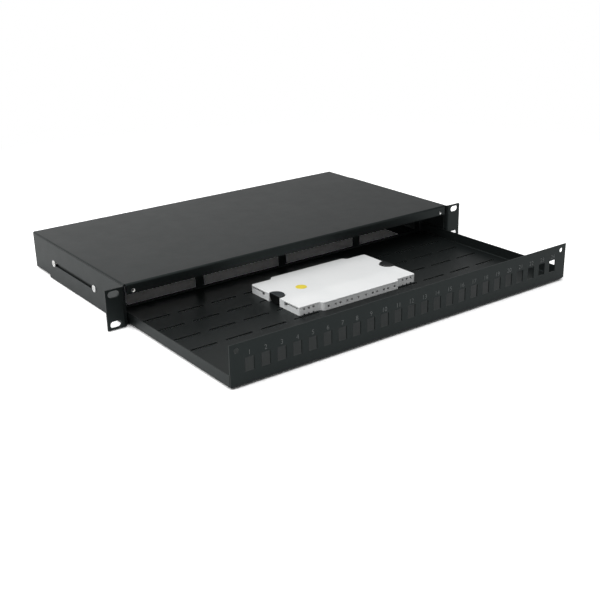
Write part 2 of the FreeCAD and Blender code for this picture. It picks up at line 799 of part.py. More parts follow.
for item in doc.Objects:
    if "Invalid" in item.State or "Error" in item.State:
        raise RuntimeError(f"{item.Name} failed: {item.State}")
for body in parts:
    if body.Shape.isNull() or not body.Shape.isValid() or len(body.Shape.Solids) != 1:
        raise RuntimeError(f"{body.Label} has no single valid solid")

os.makedirs("parts", exist_ok=True)
for body in parts:
    body.Shape.exportStep(f"parts/{body.Label}.step")
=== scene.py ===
import json
import math

import bmesh
import bpy
import numpy as np
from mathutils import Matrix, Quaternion, Vector


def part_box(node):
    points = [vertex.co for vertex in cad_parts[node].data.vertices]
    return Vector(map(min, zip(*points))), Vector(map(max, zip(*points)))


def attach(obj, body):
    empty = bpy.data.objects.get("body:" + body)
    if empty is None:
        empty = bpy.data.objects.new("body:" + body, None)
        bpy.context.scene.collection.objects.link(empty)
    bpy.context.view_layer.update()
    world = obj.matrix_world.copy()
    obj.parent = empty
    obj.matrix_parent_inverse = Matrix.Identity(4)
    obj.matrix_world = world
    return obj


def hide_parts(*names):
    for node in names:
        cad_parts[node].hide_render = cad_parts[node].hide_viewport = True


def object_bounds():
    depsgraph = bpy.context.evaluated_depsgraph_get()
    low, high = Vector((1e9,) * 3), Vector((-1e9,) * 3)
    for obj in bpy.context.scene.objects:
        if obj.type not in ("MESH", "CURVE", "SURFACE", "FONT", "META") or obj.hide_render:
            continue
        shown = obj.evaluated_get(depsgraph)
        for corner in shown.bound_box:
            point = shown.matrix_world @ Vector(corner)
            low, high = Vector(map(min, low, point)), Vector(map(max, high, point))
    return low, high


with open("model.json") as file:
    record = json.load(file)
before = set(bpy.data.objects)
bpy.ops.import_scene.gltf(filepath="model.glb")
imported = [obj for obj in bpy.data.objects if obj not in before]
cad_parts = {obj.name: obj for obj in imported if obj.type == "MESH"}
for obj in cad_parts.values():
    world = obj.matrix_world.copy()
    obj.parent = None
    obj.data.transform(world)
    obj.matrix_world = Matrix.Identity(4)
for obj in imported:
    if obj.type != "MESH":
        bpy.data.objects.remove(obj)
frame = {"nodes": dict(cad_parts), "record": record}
cad_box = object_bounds()
nodes = frame["nodes"]

# The viewpoint: a person stands ahead of the panel's left end and looks down on the opened drawer.
# The lens is a short telephoto, and the horizon leans by about a degree.
VIEW_FROM = Vector((-0.6112, -0.8291, 0.3539))
VIEW_TO = Vector((-0.0739, -0.0920, -0.0018))
VIEW_LENS = 58.62
VIEW_SENSOR = 36.0
VIEW_LEAN = -1.25

camera_data = bpy.data.cameras.new("photo_view")
camera_data.lens = VIEW_LENS
camera_data.sensor_width = VIEW_SENSOR
camera = bpy.data.objects.new("photo_view", camera_data)
camera.location = VIEW_FROM
camera.rotation_mode = "QUATERNION"
lean = Quaternion((0, 0, 1), math.radians(VIEW_LEAN))
camera.rotation_quaternion = (VIEW_TO - VIEW_FROM).to_track_quat("-Z", "Y") @ lean
bpy.context.scene.collection.objects.link(camera)
bpy.context.scene.camera = camera

# The sleeve, the two rack ears and the drawer: steel sheet, punched and folded on a press brake, then
# powder coated a satin black. The coat sets with a fine pebbled skin, and it is thinnest along the
# sheet's edges, which are painted paler: partly coat rubbed thin, partly a painted highlight. Each cloud
# below is given by its waves to the metre, its detail and its roughness.
COAT_BLACK = (0.0054, 0.0064, 0.0064)
COAT_FADED = (0.0062, 0.0073, 0.0073)
COAT_RUBBED_AND_HIGHLIGHT = (0.030, 0.032, 0.032)
COAT_DUST = (0.16, 0.16, 0.155)
COAT_SPECULAR = 0.21
COAT_SHEEN = (0.80, 1.0, 0.99)
COAT_ROUGHNESS = (0.37, 0.40)
COAT_MOTTLE = (26.0, 5.0, 0.6)
COAT_FILM = (9.0, 6.0, 0.65)
COAT_EDGE_BREAKUP = (420.0, 4.0, 0.7)
COAT_GLOSS = (60.0, 4.0, 0.6)
COAT_RIPPLE = (230.0, 2.0, 0.55)
COAT_PEBBLE = (1500.0, 2.0, 0.55)
COAT_RELIEF = 0.00002
COAT_EDGE = 0.0005
MOTTLE_SPREAD = (0.35, 0.7)
FILM_SPREAD = (0.45, 0.75)
EDGE_BREAKUP_SPREAD = (0.48, 0.68)
GLOSS_SPREAD = (0.3, 0.7)
DUST_MOST = 0.02
RUB_AND_HIGHLIGHT_MOST = 0.22
EDGE_LEAN = (0.99, 0.80)
UPWARD_LEAN = (0.5, 0.95)
SIDE_RAYS = 8


def start_finish(name):
    """A new procedural finish: the material, its node tree, its shader and the place on the piece."""
    finish = bpy.data.materials.new(name)
    finish.use_nodes = True
    tree = finish.node_tree
    shader = tree.nodes["Principled BSDF"]
    place = tree.nodes.new("ShaderNodeTexCoord").outputs["Object"]
    return finish, tree, shader, place


def cloud(tree, place, waves, detail, roughness):
    """Smooth noise over the piece, with so many waves to the metre."""
    noise = tree.nodes.new("ShaderNodeTexNoise")
    noise.inputs["Scale"].default_value = waves
    noise.inputs["Detail"].default_value = detail
    noise.inputs["Roughness"].default_value = roughness
    tree.links.new(place, noise.inputs["Vector"])
    return noise.outputs["Fac"]


def remap(tree, value, old, new):
    """Carry a value from the range old to the range new, held at both ends."""
    stretch = tree.nodes.new("ShaderNodeMapRange")
    for socket, number in zip(("From Min", "From Max", "To Min", "To Max"), (*old, *new)):
        stretch.inputs[socket].default_value = number
    tree.links.new(value, stretch.inputs["Value"])
    return stretch.outputs["Result"]


def times(tree, first, second):
    """The product of two values."""
    product = tree.nodes.new("ShaderNodeMath")
    product.operation = "MULTIPLY"
    tree.links.new(first, product.inputs[0])
    tree.links.new(second, product.inputs[1])
    return product.outputs["Value"]


def tint(tree, amount, base, colour):
    """Lay a colour over a base, which is a colour or an earlier tint, as far as the amount says."""
    mix = tree.nodes.new("ShaderNodeMix")
    mix.data_type = "RGBA"
    tree.links.new(amount, mix.inputs["Factor"])
    if isinstance(base, tuple):
        mix.inputs["A"].default_value = (*base, 1)
    else:
        tree.links.new(base, mix.inputs["A"])
    mix.inputs["B"].default_value = (*colour, 1)
    return mix.outputs["Result"]


def dent(tree, height, depth, over=None):
    """A bump of the given depth in metres, on top of an earlier bump."""
    bump = tree.nodes.new("ShaderNodeBump")
    bump.inputs["Strength"].default_value = 1.0
    bump.inputs["Distance"].default_value = depth
    tree.links.new(height, bump.inputs["Height"])
    if over:
        tree.links.new(over, bump.inputs["Normal"])
    return bump.outputs["Normal"]


def sharp_edges(tree, width):
    """1 along the piece's outer and inner edges, over the given width, and 0 on its flat faces.

    The normal of the same surface with rounded edges leans away from the true normal there.
    """
    rounded = tree.nodes.new("ShaderNodeBevel")
    rounded.samples = SIDE_RAYS
    rounded.inputs["Radius"].default_value = width
    lean_of_edge = tree.nodes.new("ShaderNodeVectorMath")
    lean_of_edge.operation = "DOT_PRODUCT"
    true_normal = tree.nodes.new("ShaderNodeNewGeometry").outputs["Normal"]
    tree.links.new(rounded.outputs["Normal"], lean_of_edge.inputs[0])
    tree.links.new(true_normal, lean_of_edge.inputs[1])
    return remap(tree, lean_of_edge.outputs["Value"], EDGE_LEAN, (0.0, 1.0))


def facing_up(tree):
    """1 on faces that look upwards, where dust settles and, on the clips, painted light lies, and 0 on the
    others.
    """
    axes = tree.nodes.new("ShaderNodeSeparateXYZ")
    normal = tree.nodes.new("ShaderNodeNewGeometry").outputs["Normal"]
    tree.links.new(normal, axes.inputs["Vector"])
    return remap(tree, axes.outputs["Z"], UPWARD_LEAN, (0.0, 1.0))


def powder_coat(name):
    """Satin black coat: pebbled skin, cloudy gloss, edges paler as rubbed coat and painted highlight, a
    trace of dust on top.
    """
    finish, tree, shader, place = start_finish(name)
    mottle = remap(tree, cloud(tree, place, *COAT_MOTTLE), MOTTLE_SPREAD, (0.0, 1.0))
    colour = tint(tree, mottle, COAT_BLACK, COAT_FADED)
    film = remap(tree, cloud(tree, place, *COAT_FILM), FILM_SPREAD, (0.0, DUST_MOST))
    colour = tint(tree, times(tree, facing_up(tree), film), colour, COAT_DUST)
    # Paler edges: partly coat rubbed thin, partly a painted highlight.
    rubbed_and_highlight = remap(tree, cloud(tree, place, *COAT_EDGE_BREAKUP), EDGE_BREAKUP_SPREAD, (0.0, RUB_AND_HIGHLIGHT_MOST))
    colour = tint(tree, times(tree, sharp_edges(tree, COAT_EDGE), rubbed_and_highlight), colour, COAT_RUBBED_AND_HIGHLIGHT)
    tree.links.new(colour, shader.inputs["Base Color"])
    gloss = remap(tree, cloud(tree, place, *COAT_GLOSS), GLOSS_SPREAD, COAT_ROUGHNESS)
    tree.links.new(gloss, shader.inputs["Roughness"])
    shader.inputs["Specular IOR Level"].default_value = COAT_SPECULAR
    shader.inputs["Specular Tint"].default_value = (*COAT_SHEEN, 1)
    ripple = dent(tree, cloud(tree, place, *COAT_RIPPLE), COAT_RELIEF)
    pebble = dent(tree, cloud(tree, place, *COAT_PEBBLE), COAT_RELIEF, ripple)
    tree.links.new(pebble, shader.inputs["Normal"])
    return finish


def dress(names, finish):
    """Give the finish to every material slot of these CAD nodes."""
    for name in names:
        surface = nodes[name].data
        if not surface.materials:
            surface.materials.append(finish)
        for index in range(len(surface.materials)):
            surface.materials[index] = finish


black_coat = powder_coat("satin_black_coat")
dress(["sleeve", "ear_bracket_left", "ear_bracket_right", "drawer_pan"], black_coat)

# The clinch nuts pressed into the sleeve's sides behind the ear screws: turned steel, plated with bright
# zinc. Each has a round collar behind the sheet and a spigot that fills the hole.
ZINC = (0.66, 0.67, 0.68)
ZINC_WARM = (0.60, 0.585, 0.54)
ZINC_ROUGHNESS = (0.20, 0.36)
ZINC_PATCHES = (350.0, 3.0, 0.55)
ZINC_STREAKS = (900.0, 3.0, 0.55)
ZINC_TURNING = (2200.0, 2.0, 0.55)
ZINC_TURNING_DEPTH = 0.00001
PATCH_SPREAD = (0.4, 0.7)


def zinc_plate(name):
    """Bright zinc: a metal with cloudy warm patches and fine turning marks."""
    finish, tree, shader, place = start_finish(name)
    patches = remap(tree, cloud(tree, place, *ZINC_PATCHES), PATCH_SPREAD, (0.0, 1.0))
    tree.links.new(tint(tree, patches, ZINC, ZINC_WARM), shader.inputs["Base Color"])
    shader.inputs["Metallic"].default_value = 1.0
    streaks = remap(tree, cloud(tree, place, *ZINC_STREAKS), GLOSS_SPREAD, ZINC_ROUGHNESS)
    tree.links.new(streaks, shader.inputs["Roughness"])
    turning = dent(tree, cloud(tree, place, *ZINC_TURNING), ZINC_TURNING_DEPTH)
    tree.links.new(turning, shader.inputs["Normal"])
    return finish


bright_zinc = zinc_plate("bright_zinc")
dress([name for name in nodes if name.startswith("ear_nut_")], bright_zinc)

# The four screws that clamp the rack ears to the sleeve: cold-headed steel, zinc plated, each with a domed
# pan head, a stamped cross recess and a rolled thread that runs through the ear's slot into the nut.
# Each stopped at another angle when it was tightened.
SIDES = {"left": -1, "right": 1}
SCREW_STOPS = {"left_front": -0.1884, "left_rear": 0.4290, "right_front": 1.0116, "right_rear": 1.6290}
HEAD_RADIUS = 0.0039
HEAD_HEIGHT = 0.0016
HEAD_CROWN = 0.0006
HEAD_RIM = 0.00025
HEAD_SHOULDER = 0.00011
HEAD_FOOT = 0.0002
HEAD_RINGS = 34
SHANK_RADIUS = 0.0020
SHANK_RINGS = 66
THREAD_DEPTH = 0.00022
THREAD_PITCH = 0.0007
THREAD_START = 0.0008
THREAD_END = 0.0006
TIP_LENGTH = 0.0005
TIP_TAPER = 0.0003
CROSS_REACH = 0.0022
CROSS_WIDTH = 0.00048
CROSS_DEPTH = 0.0010
CROSS_WALL = (0.75, 1.15)
CROSS_FLOOR = 0.72


def soft_step(value, low, high):
    """0 below low, 1 above high, and a smooth cubic between them."""
    share = np.clip((value - low) / (high - low), 0.0, 1.0)
    return share * share * (3 - 2 * share)


def screw_surface(length, turns=96):
    """The screw about its own axis, as rings: each point has a height above the seat and a radius.

    From the top: a sphere's cap sunk by a cross, whose arms taper from the centre to the recess's reach,
    then the head's rounded rim and flat underside, then a shank of the given length whose radius falls by
    a triangle wave that climbs one pitch for each turn, and a tapered tip. Returns the heights, radii and
    angles as whole grids.
    """
    angle = np.linspace(0.0, 2 * np.pi, turns, endpoint=False)[None, :]
    across = np.linspace(0.02, 1.0, HEAD_RINGS)[:, None] * (HEAD_RADIUS - HEAD_RIM) + 0 * angle
    sphere = (HEAD_RADIUS ** 2 + HEAD_CROWN ** 2) / (2 * HEAD_CROWN)
    dome = HEAD_HEIGHT - sphere + np.sqrt(sphere ** 2 - across ** 2)
    nearest_arm = np.minimum(np.abs(across * np.cos(angle)), np.abs(across * np.sin(angle)))
    arm = 1 - soft_step(nearest_arm, CROSS_WIDTH * CROSS_WALL[0], CROSS_WIDTH * CROSS_WALL[1])
    reach = 1 - soft_step(across, CROSS_REACH * CROSS_FLOOR, CROSS_REACH)
    dome = dome - CROSS_DEPTH * arm * reach
    bend = np.linspace(0.0, np.pi / 2, 5)[1:, None] + 0 * angle
    rim = HEAD_RADIUS - HEAD_RIM * (1 - np.sin(bend))
    rim_height = HEAD_HEIGHT - HEAD_CROWN - HEAD_RIM * (1 - np.cos(bend)) + HEAD_SHOULDER * np.cos(bend)
    under = np.array([HEAD_RADIUS, HEAD_RADIUS, SHANK_RADIUS])[:, None] + 0 * angle
    under_height = np.array([HEAD_FOOT, 0.0, 0.0])[:, None] + 0 * angle
    down = np.linspace(0.0001, length, SHANK_RINGS)[:, None] + 0 * angle
    climb = (down / THREAD_PITCH + angle / (2 * np.pi)) % 1.0
    fade = soft_step(down, 0.0, THREAD_START) * (1 - soft_step(down, length - THREAD_END, length))
    shank = SHANK_RADIUS - THREAD_DEPTH * np.abs(2 * climb - 1) * fade
    shank = shank - TIP_TAPER * soft_step(down, length - TIP_LENGTH, length)
    radii = np.concatenate([across, rim, under, shank])
    heights = np.concatenate([dome, rim_height, under_height, -down])
    return heights, radii, np.broadcast_to(angle, radii.shape)


def smooth_mesh(name, points, faces):
    """A mesh of these points and faces, shaded smooth."""
    mesh = bpy.data.meshes.new(name)
    mesh.from_pydata(points.tolist(), [], faces)
    mesh.update()
    mesh.polygons.foreach_set("use_smooth", np.ones(len(mesh.polygons), bool))
    return mesh


def closed_rings(name, points, first, last):
    """A mesh from rings of points, joined ring to ring and closed by a fan to one point at both ends."""
    rings, turns, _ = points.shape
    ring = np.arange(rings - 1)[:, None] * turns
    spot = np.arange(turns)
    following = (spot + 1) % turns
    quads = np.stack([ring + spot, ring + turns + spot, ring + turns + following, ring + following], -1)
    start = np.full(turns, rings * turns)
    end_ring = (rings - 1) * turns
    fans = np.concatenate([
        np.stack([start, spot, following], -1),
        np.stack([start + 1, end_ring + following, end_ring + spot], -1),
    ])
    corners = np.concatenate([points.reshape(-1, 3), [first, last]])
    return smooth_mesh(name, corners, quads.reshape(-1, 4).tolist() + fans.tolist())


def add_piece(name, mesh, finish):
    """Put a finished mesh in the scene as a piece with its own finish."""
    mesh.materials.append(finish)
    piece = bpy.data.objects.new(name, mesh)
    bpy.context.scene.collection.objects.link(piece)
    return piece


for place_name, stop in SCREW_STOPS.items():
    side = SIDES[place_name.split("_")[0]]
    low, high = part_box(f"ear_screw_{place_name}")
    axis = (low + high) / 2
    length = high.x - low.x - HEAD_HEIGHT
    seat = max(abs(low.x), abs(high.x)) - HEAD_HEIGHT
    heights, radii, angles = screw_surface(length)
    points = np.stack([
        side * (seat + heights),
        axis.y + side * radii * np.cos(angles + stop),
        axis.z + radii * np.sin(angles + stop),
    ], -1)
    recess = (side * (seat + HEAD_HEIGHT - CROSS_DEPTH), axis.y, axis.z)
    tip = (side * (seat - length), axis.y, axis.z)
    screw_mesh = closed_rings(f"pan_head_screw_{place_name}", points, recess, tip)
    screw = add_piece(f"pan_head_screw_{place_name}", screw_mesh, bright_zinc)
    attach(screw, "frame")
    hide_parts(f"ear_screw_{place_name}")

# The two clinch nuts in the lip, which take the screws of the closed drawer's panel: turned steel, zinc
# plated. They are pressed in before the sheet is coated with the threads plugged, so the coat covers all
# but the bore.
NUT_SPIGOT_RADIUS = 0.00235
NUT_SPIGOT_LENGTH = 0.0012
NUT_COLLAR = 0.0030
NUT_EDGE = 0.0002
NUT_BEVEL = 0.00006
NUT_BORE = 0.00165
NUT_MOUTH = 0.00190
NUT_CONE = 0.00035
NUT_PITCH = 0.0005
NUT_THREAD = 0.00020
NUT_THREAD_START = (0.6, 1.6)
NUT_BORE_RINGS = 60


def nut_surface(length, turns=72):
    """The nut about its own axis, as a closed loop of rings: each point has a depth and a radius.

    The loop starts at the mouth, falls along a cone into the bore, whose radius falls by a triangle wave
    that climbs one pitch for each turn, leaves by a like cone, and comes back over the collar and the
    spigot. Returns the depths behind the face, the radii and the angles as whole grids.
    """
    angle = np.linspace(0.0, 2 * np.pi, turns, endpoint=False)[None, :]
    down = np.linspace(0.0, length, NUT_BORE_RINGS)[:, None] + 0 * angle
    from_end = np.minimum(down, length - down)
    taper = (NUT_MOUTH - NUT_BORE) * (1 - np.clip(from_end / NUT_CONE, 0.0, 1.0))
    climb = (down / NUT_PITCH + angle / (2 * np.pi)) % 1.0
    started = soft_step(from_end, NUT_CONE * NUT_THREAD_START[0], NUT_CONE * NUT_THREAD_START[1])
    bore = NUT_BORE + taper - NUT_THREAD * np.abs(2 * climb - 1) * started
    outside = np.array([
        (NUT_COLLAR - NUT_EDGE, length),
        (NUT_COLLAR - NUT_BEVEL, length - NUT_BEVEL),
        (NUT_COLLAR, length - NUT_EDGE),
        (NUT_COLLAR, NUT_SPIGOT_LENGTH),
        (NUT_SPIGOT_RADIUS, NUT_SPIGOT_LENGTH),
        (NUT_SPIGOT_RADIUS, NUT_BEVEL),
        (NUT_SPIGOT_RADIUS - NUT_BEVEL, 0.0),
    ])
    radii = np.concatenate([bore, outside[:, :1] + 0 * angle])
    depths = np.concatenate([down, outside[:, 1:] + 0 * angle])
    return depths, radii, np.broadcast_to(angle, radii.shape)


def looped_rings(name, points):
    """A mesh from rings of points joined ring to ring, the last one to the first."""
    rings, turns, _ = points.shape
    ring = np.arange(rings)[:, None] * turns
    next_ring = (ring + turns) % (rings * turns)
    spot = np.arange(turns)
    following = (spot + 1) % turns
    quads = np.stack([ring + spot, ring + following, next_ring + following, next_ring + spot], -1)
    return smooth_mesh(name, points.reshape(-1, 3), quads.reshape(-1, 4).tolist())


for side_name in SIDES:
    low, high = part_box(f"lock_nut_{side_name}")
    axis = (low + high) / 2
    depths, radii, angles = nut_surface(high.y - low.y)
    points = np.stack([
        axis.x + radii * np.cos(angles),
        low.y + depths,
        axis.z + radii * np.sin(angles),
    ], -1)
    nut_mesh = looped_rings(f"lip_nut_{side_name}", points)
    nut = add_piece(f"lip_nut_{side_name}", nut_mesh, bright_zinc)
    nut_mesh.materials.append(black_coat)
    rings, turns, _ = points.shape
    coated = np.repeat(np.arange(rings) >= NUT_BORE_RINGS - 1, turns)
    nut_mesh.polygons.foreach_set("material_index", coated.astype(np.int32))
    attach(nut, "frame")
    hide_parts(f"lock_nut_{side_name}")

# The splice tray that lies on the drawer's floor: base and cover injection moulded in glossy white plastic,
# with a combed splice holder in pale grey plastic pressed in on each side of its middle.
TRAY_WHITE = (0.80, 0.81, 0.81)
TRAY_SHADE = (0.765, 0.78, 0.78)
TRAY_ROUGHNESS = (0.09, 0.14)
TRAY_WAVINESS = 0.0012
HOLDER_GREY = (0.52, 0.53, 0.53)
HOLDER_SHADE = (0.42, 0.43, 0.43)
HOLDER_ROUGHNESS = (0.38, 0.52)
HOLDER_WAVINESS = 0.0002
TONE_CLOUDS = (35.0, 5.0, 0.6)
TONE_SPREAD = (0.4, 0.75)
TONE_GLOSS = (80.0, 4.0, 0.6)
SKIN_WAVES = (9.0, 1.0, 0.55)
SKIN_GRAIN = (2600.0, 2.0, 0.55)
SKIN_GRAIN_DEPTH = 0.000008
# Painted shade in narrow holes and corners: how dark, as a share of the shade colour, and how far it
# reaches.
PAINTED_SHADE_SHARE = 0.10
PAINTED_SHADE_REACH = 0.0016
SHELTER_RANGE = (0.80, 0.45)


def crevices(tree, reach):
    """1 in holes and corners narrower than the reach, where little light gets in, and 0 outside."""
    shelter = tree.nodes.new("ShaderNodeAmbientOcclusion")
    shelter.samples = SIDE_RAYS
    shelter.only_local = True
    shelter.inputs["Distance"].default_value = reach
    return remap(tree, shelter.outputs["AO"], SHELTER_RANGE, (0.0, 1.0))


def toned_skin(name, colour, shade, roughness, waviness, specular=0.5, dust=None):
    """A smooth skin: cloudy in tone, with painted shade in its crevices, and finely grained.

    Its waviness, in metres, bends what it reflects. Where a dust colour is given, it is laid on the faces
    that look upwards: on the clips that colour is dust and painted light together.
    """
    finish, tree, shader, place = start_finish(name)
    clouds = remap(tree, cloud(tree, place, *TONE_CLOUDS), TONE_SPREAD, (0.0, 1.0))
    painted_shade = tuple(channel * PAINTED_SHADE_SHARE for channel in shade)
    # Painted shade: holes and corners narrower than the reach are darkened, where little light gets in.
    toned = tint(tree, crevices(tree, PAINTED_SHADE_REACH), tint(tree, clouds, colour, shade), painted_shade)
    # On the clips the colour laid on top is dust and painted light: the tops paler as if lit from above, the
    # right one's kept dark as painted shade.
    if dust:
        toned = tint(tree, facing_up(tree), toned, dust)
    tree.links.new(toned, shader.inputs["Base Color"])
    shader.inputs["Specular IOR Level"].default_value = specular
    gloss = remap(tree, cloud(tree, place, *TONE_GLOSS), GLOSS_SPREAD, roughness)
    tree.links.new(gloss, shader.inputs["Roughness"])
    waves = dent(tree, cloud(tree, place, *SKIN_WAVES), waviness)
    grain = dent(tree, cloud(tree, place, *SKIN_GRAIN), SKIN_GRAIN_DEPTH, waves)
    tree.links.new(grain, shader.inputs["Normal"])
    return finish


white_plastic = toned_skin("glossy_white_plastic", TRAY_WHITE, TRAY_SHADE, TRAY_ROUGHNESS, TRAY_WAVINESS)
dress(["tray_base", "tray_lid"], white_plastic)
grey_plastic = toned_skin("pale_grey_plastic", HOLDER_GREY, HOLDER_SHADE, HOLDER_ROUGHNESS, HOLDER_WAVINESS)
dress(["splice_holder_front", "splice_holder_rear"], grey_plastic)

# The two round-nosed clips that hold the cover at the tray's short ends: moulded in black plastic with a
# satin skin. Their tops are paler with dust and painted light, the left one's far more, the right one's kept
# dark as painted shade. Each is pushed down into its notch, and its foot is rounded to find it.
CLIP_BLACK = (0.0022, 0.0025, 0.0027)
CLIP_WORN = (0.0035, 0.0039, 0.0042)
# Colours laid on the clip tops: dust and painted light, the right one kept dark as painted shade.
CLIP_DUST_AND_LIGHT = {"left": (0.023, 0.0275, 0.031), "right": (0.0045, 0.0055, 0.0060)}
CLIP_ROUGHNESS = (0.30, 0.38)
CLIP_WAVINESS = 0.0001
CLIP_SPECULAR = 0.45
CLIP_RIM = 0.0005
CLIP_CORNER = 0.0005
CLIP_FOOT = 0.0085
CLIP_FLAT = (0.15, 0.4, 0.7, 0.9, 0.97)
CLIP_CREASE = 40.0


def clip_surface(radius, straight, low, high):
    """The clip as D-shaped rings, from the middle of its top over the rim and down to its underside.

    A ring is half a circle, two short straight sides, two rounded corners and a straight outer face. A
    quarter circle draws the rings in over the rim, and another one narrows them down the foot. Returns the
    depths behind the outer face, the places along it and the heights as whole grids.
    """
    flat = np.array(CLIP_FLAT)
    over = np.linspace(0.0, np.pi / 2, 8)
    foot = np.linspace(np.pi / 2, 0.06, 16)
    under = flat[:0:-1]
    narrowest = 1 - CLIP_FOOT / radius

    def down_the_clip(on_top, on_rim, on_foot, on_underside):
        """One value for each ring, in the order of the rings."""
        stretches = ((on_top, flat), (on_rim, over), (on_foot, foot), (on_underside, under))
        return np.concatenate([value + 0 * rings for value, rings in stretches])[:, None]

    inset = down_the_clip(CLIP_RIM, CLIP_RIM * (1 - np.sin(over)), 0.0, 0.0)
    shrink = down_the_clip(flat, 1.0, 1.0, under)
    width = down_the_clip(1.0, 1.0, narrowest + (1 - narrowest) * np.sin(foot), narrowest)
    rim_heights = high - CLIP_RIM * (1 - np.cos(over))
    heights = down_the_clip(high, rim_heights, low + CLIP_FOOT * (1 - np.cos(foot)), low)
    nose = np.linspace(np.pi / 96, np.pi / 2, 24)
    corner = np.linspace(np.pi / 2, np.pi, 7)
    half = radius - inset
    depth = np.concatenate([
        straight + half * np.cos(nose), inset + CLIP_CORNER * (1 + np.cos(corner)),
    ], 1)
    along = np.concatenate([half * np.sin(nose), half - CLIP_CORNER * (1 - np.sin(corner))], 1)
    depth = np.concatenate([depth, depth[:, ::-1]], 1)
    along = np.concatenate([along, -along[:, ::-1]], 1)
    middle = (straight + radius) / 2
    depth = (middle + (depth - middle) * shrink) * width
    return depth, along * shrink * width, heights + 0 * along


for side_name, side in SIDES.items():
    low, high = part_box(f"lid_clip_{side_name}")
    middle = (low + high) / 2
    outer_face = low.x if side < 0 else high.x
    radius = (high.y - low.y) / 2
    depth, along, heights = clip_surface(radius, high.x - low.x - radius, low.z, high.z)
    points = np.stack([outer_face - side * depth, middle.y - side * along, heights], -1)
    top = (middle.x, middle.y, high.z)
    underside = (middle.x, middle.y, low.z)
    clip_mesh = closed_rings(f"cover_clip_{side_name}", points, top, underside)
    clip_mesh.set_sharp_from_angle(angle=math.radians(CLIP_CREASE))
    black_plastic = toned_skin(
        f"satin_black_plastic_{side_name}", CLIP_BLACK, CLIP_WORN, CLIP_ROUGHNESS, CLIP_WAVINESS,
        CLIP_SPECULAR, CLIP_DUST_AND_LIGHT[side_name])
    clip = add_piece(f"cover_clip_{side_name}", clip_mesh, black_plastic)
    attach(clip, "tray_cover")
    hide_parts(f"lid_clip_{side_name}")

# A plain round marking sticker on the cover: yellow coated paper, stuck on by hand near the left clip.
# Its rim has lifted by a hair all round.
STICKER_YELLOW = (0.76, 0.62, 0.045)
STICKER_FADED = (0.66, 0.52, 0.06)
STICKER_ROUGHNESS = (0.35, 0.5)
STICKER_WAVINESS = 0.0001
STICKER_CENTRE = (-0.0372, -0.0443)
STICKER_RADIUS = 0.0062
STICKER_PAPER = 0.00012
STICKER_LIFT = 0.00005


def sticker_surface(turns=96):
    """A paper disc as rings about its middle, which rise towards the rim by the fourth power of the radius.

    The rings run from the middle of the top to the rim, round the paper's edge, and back underneath.
    Returns the heights, radii and angles as whole grids.
    """
    share = np.linspace(0.08, 1.0, 14)
    lift = STICKER_LIFT * share ** 4
    radii = np.concatenate([share, share[::-1]])[:, None] * STICKER_RADIUS
    heights = np.concatenate([STICKER_PAPER + lift, lift[::-1]])[:, None]
    angle = np.linspace(0.0, 2 * np.pi, turns, endpoint=False)
    return heights + 0 * angle, radii + 0 * angle, angle + 0 * radii


lid_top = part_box("tray_lid")[1].z
heights, radii, angles = sticker_surface()
points = np.stack([
    STICKER_CENTRE[0] + radii * np.cos(angles),
    STICKER_CENTRE[1] + radii * np.sin(angles),
    lid_top + heights,
], -1)
top = (*STICKER_CENTRE, lid_top + STICKER_PAPER)
underside = (*STICKER_CENTRE, lid_top)
sticker_mesh = closed_rings("marking_sticker", points, top, underside)
yellow_paper = toned_skin("yellow_paper", STICKER_YELLOW, STICKER_FADED, STICKER_ROUGHNESS, STICKER_WAVINESS)
sticker = add_piece("marking_sticker", sticker_mesh, yellow_paper)
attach(sticker, "tray_cover")

# The port numbers above the adapter openings: white ink, screen printed on the coat after it is baked.
# The ink stands a few hundredths of a millimetre proud.
INK_WHITE = (0.090, 0.098, 0.098)
INK_THIN = (0.058, 0.063, 0.063)
INK_ROUGHNESS = (0.45, 0.6)
INK_WAVINESS = 0.00005
INK_FILM = 0.00003
INK_THINNING = -0.00006
INK_WELD = 0.0000005
NUMBER_HEIGHT = 0.0046
NUMBER_RISE = 0.0046
FIGURE_SHARE = 0.7


def printed_number(text):
    """A number as a flat closed film, its outline carried through the ink's thickness.

    The front, the back and the rim are welded. Returns the corner points and the faces.
    """
    letters = bpy.data.curves.new("number", "FONT")
    letters.body = text
    letters.size = NUMBER_HEIGHT / FIGURE_SHARE
    letters.align_x = "CENTER"
    letters.align_y = "CENTER"
    letters.extrude = INK_FILM
    letters.offset = INK_THINNING
    letters.resolution_u = 4
    stencil = bpy.data.objects.new("number", letters)
    film = bpy.data.meshes.new_from_object(stencil)
    welded = bmesh.new()
    welded.from_mesh(film)
    bmesh.ops.remove_doubles(welded, verts=welded.verts[:], dist=INK_WELD)
    bmesh.ops.recalc_face_normals(welded, faces=welded.faces[:])
    welded.to_mesh(film)
    welded.free()
    corners = np.empty(len(film.vertices) * 3)
    film.vertices.foreach_get("co", corners)
    faces = [tuple(polygon.vertices) for polygon in film.polygons]
    bpy.data.objects.remove(stencil)
    bpy.data.curves.remove(letters)
    bpy.data.meshes.remove(film)
    return corners.reshape(-1, 3), faces


panel_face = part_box("drawer_pan")[0].y
openings = frame["record"]["physics"]["openings"]
ink_points = []
ink_faces = []
ink_count = 0
for opening in openings:
    if not opening["name"].startswith("port_"):
        continue
    low, high = opening["box_m"]
    corners, faces = printed_number(opening["name"].removeprefix("port_"))
    middle = (corners.max(0) + corners.min(0)) / 2
    ink_points.append(np.stack([
        corners[:, 0] - middle[0] + (low[0] + high[0]) / 2,
        panel_face - INK_FILM - corners[:, 2],
        corners[:, 1] - middle[1] + high[2] + NUMBER_RISE,
    ], -1))
    ink_faces.extend([tuple(corner + ink_count for corner in face) for face in faces])
    ink_count += len(corners)
ink_mesh = bpy.data.meshes.new("port_numbers")
ink_mesh.from_pydata(np.concatenate(ink_points).tolist(), [], ink_faces)
ink_mesh.update()
white_ink = toned_skin("white_ink", INK_WHITE, INK_THIN, INK_ROUGHNESS, INK_WAVINESS)
numbers = add_piece("port_numbers", ink_mesh, white_ink)
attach(numbers, "drawer")

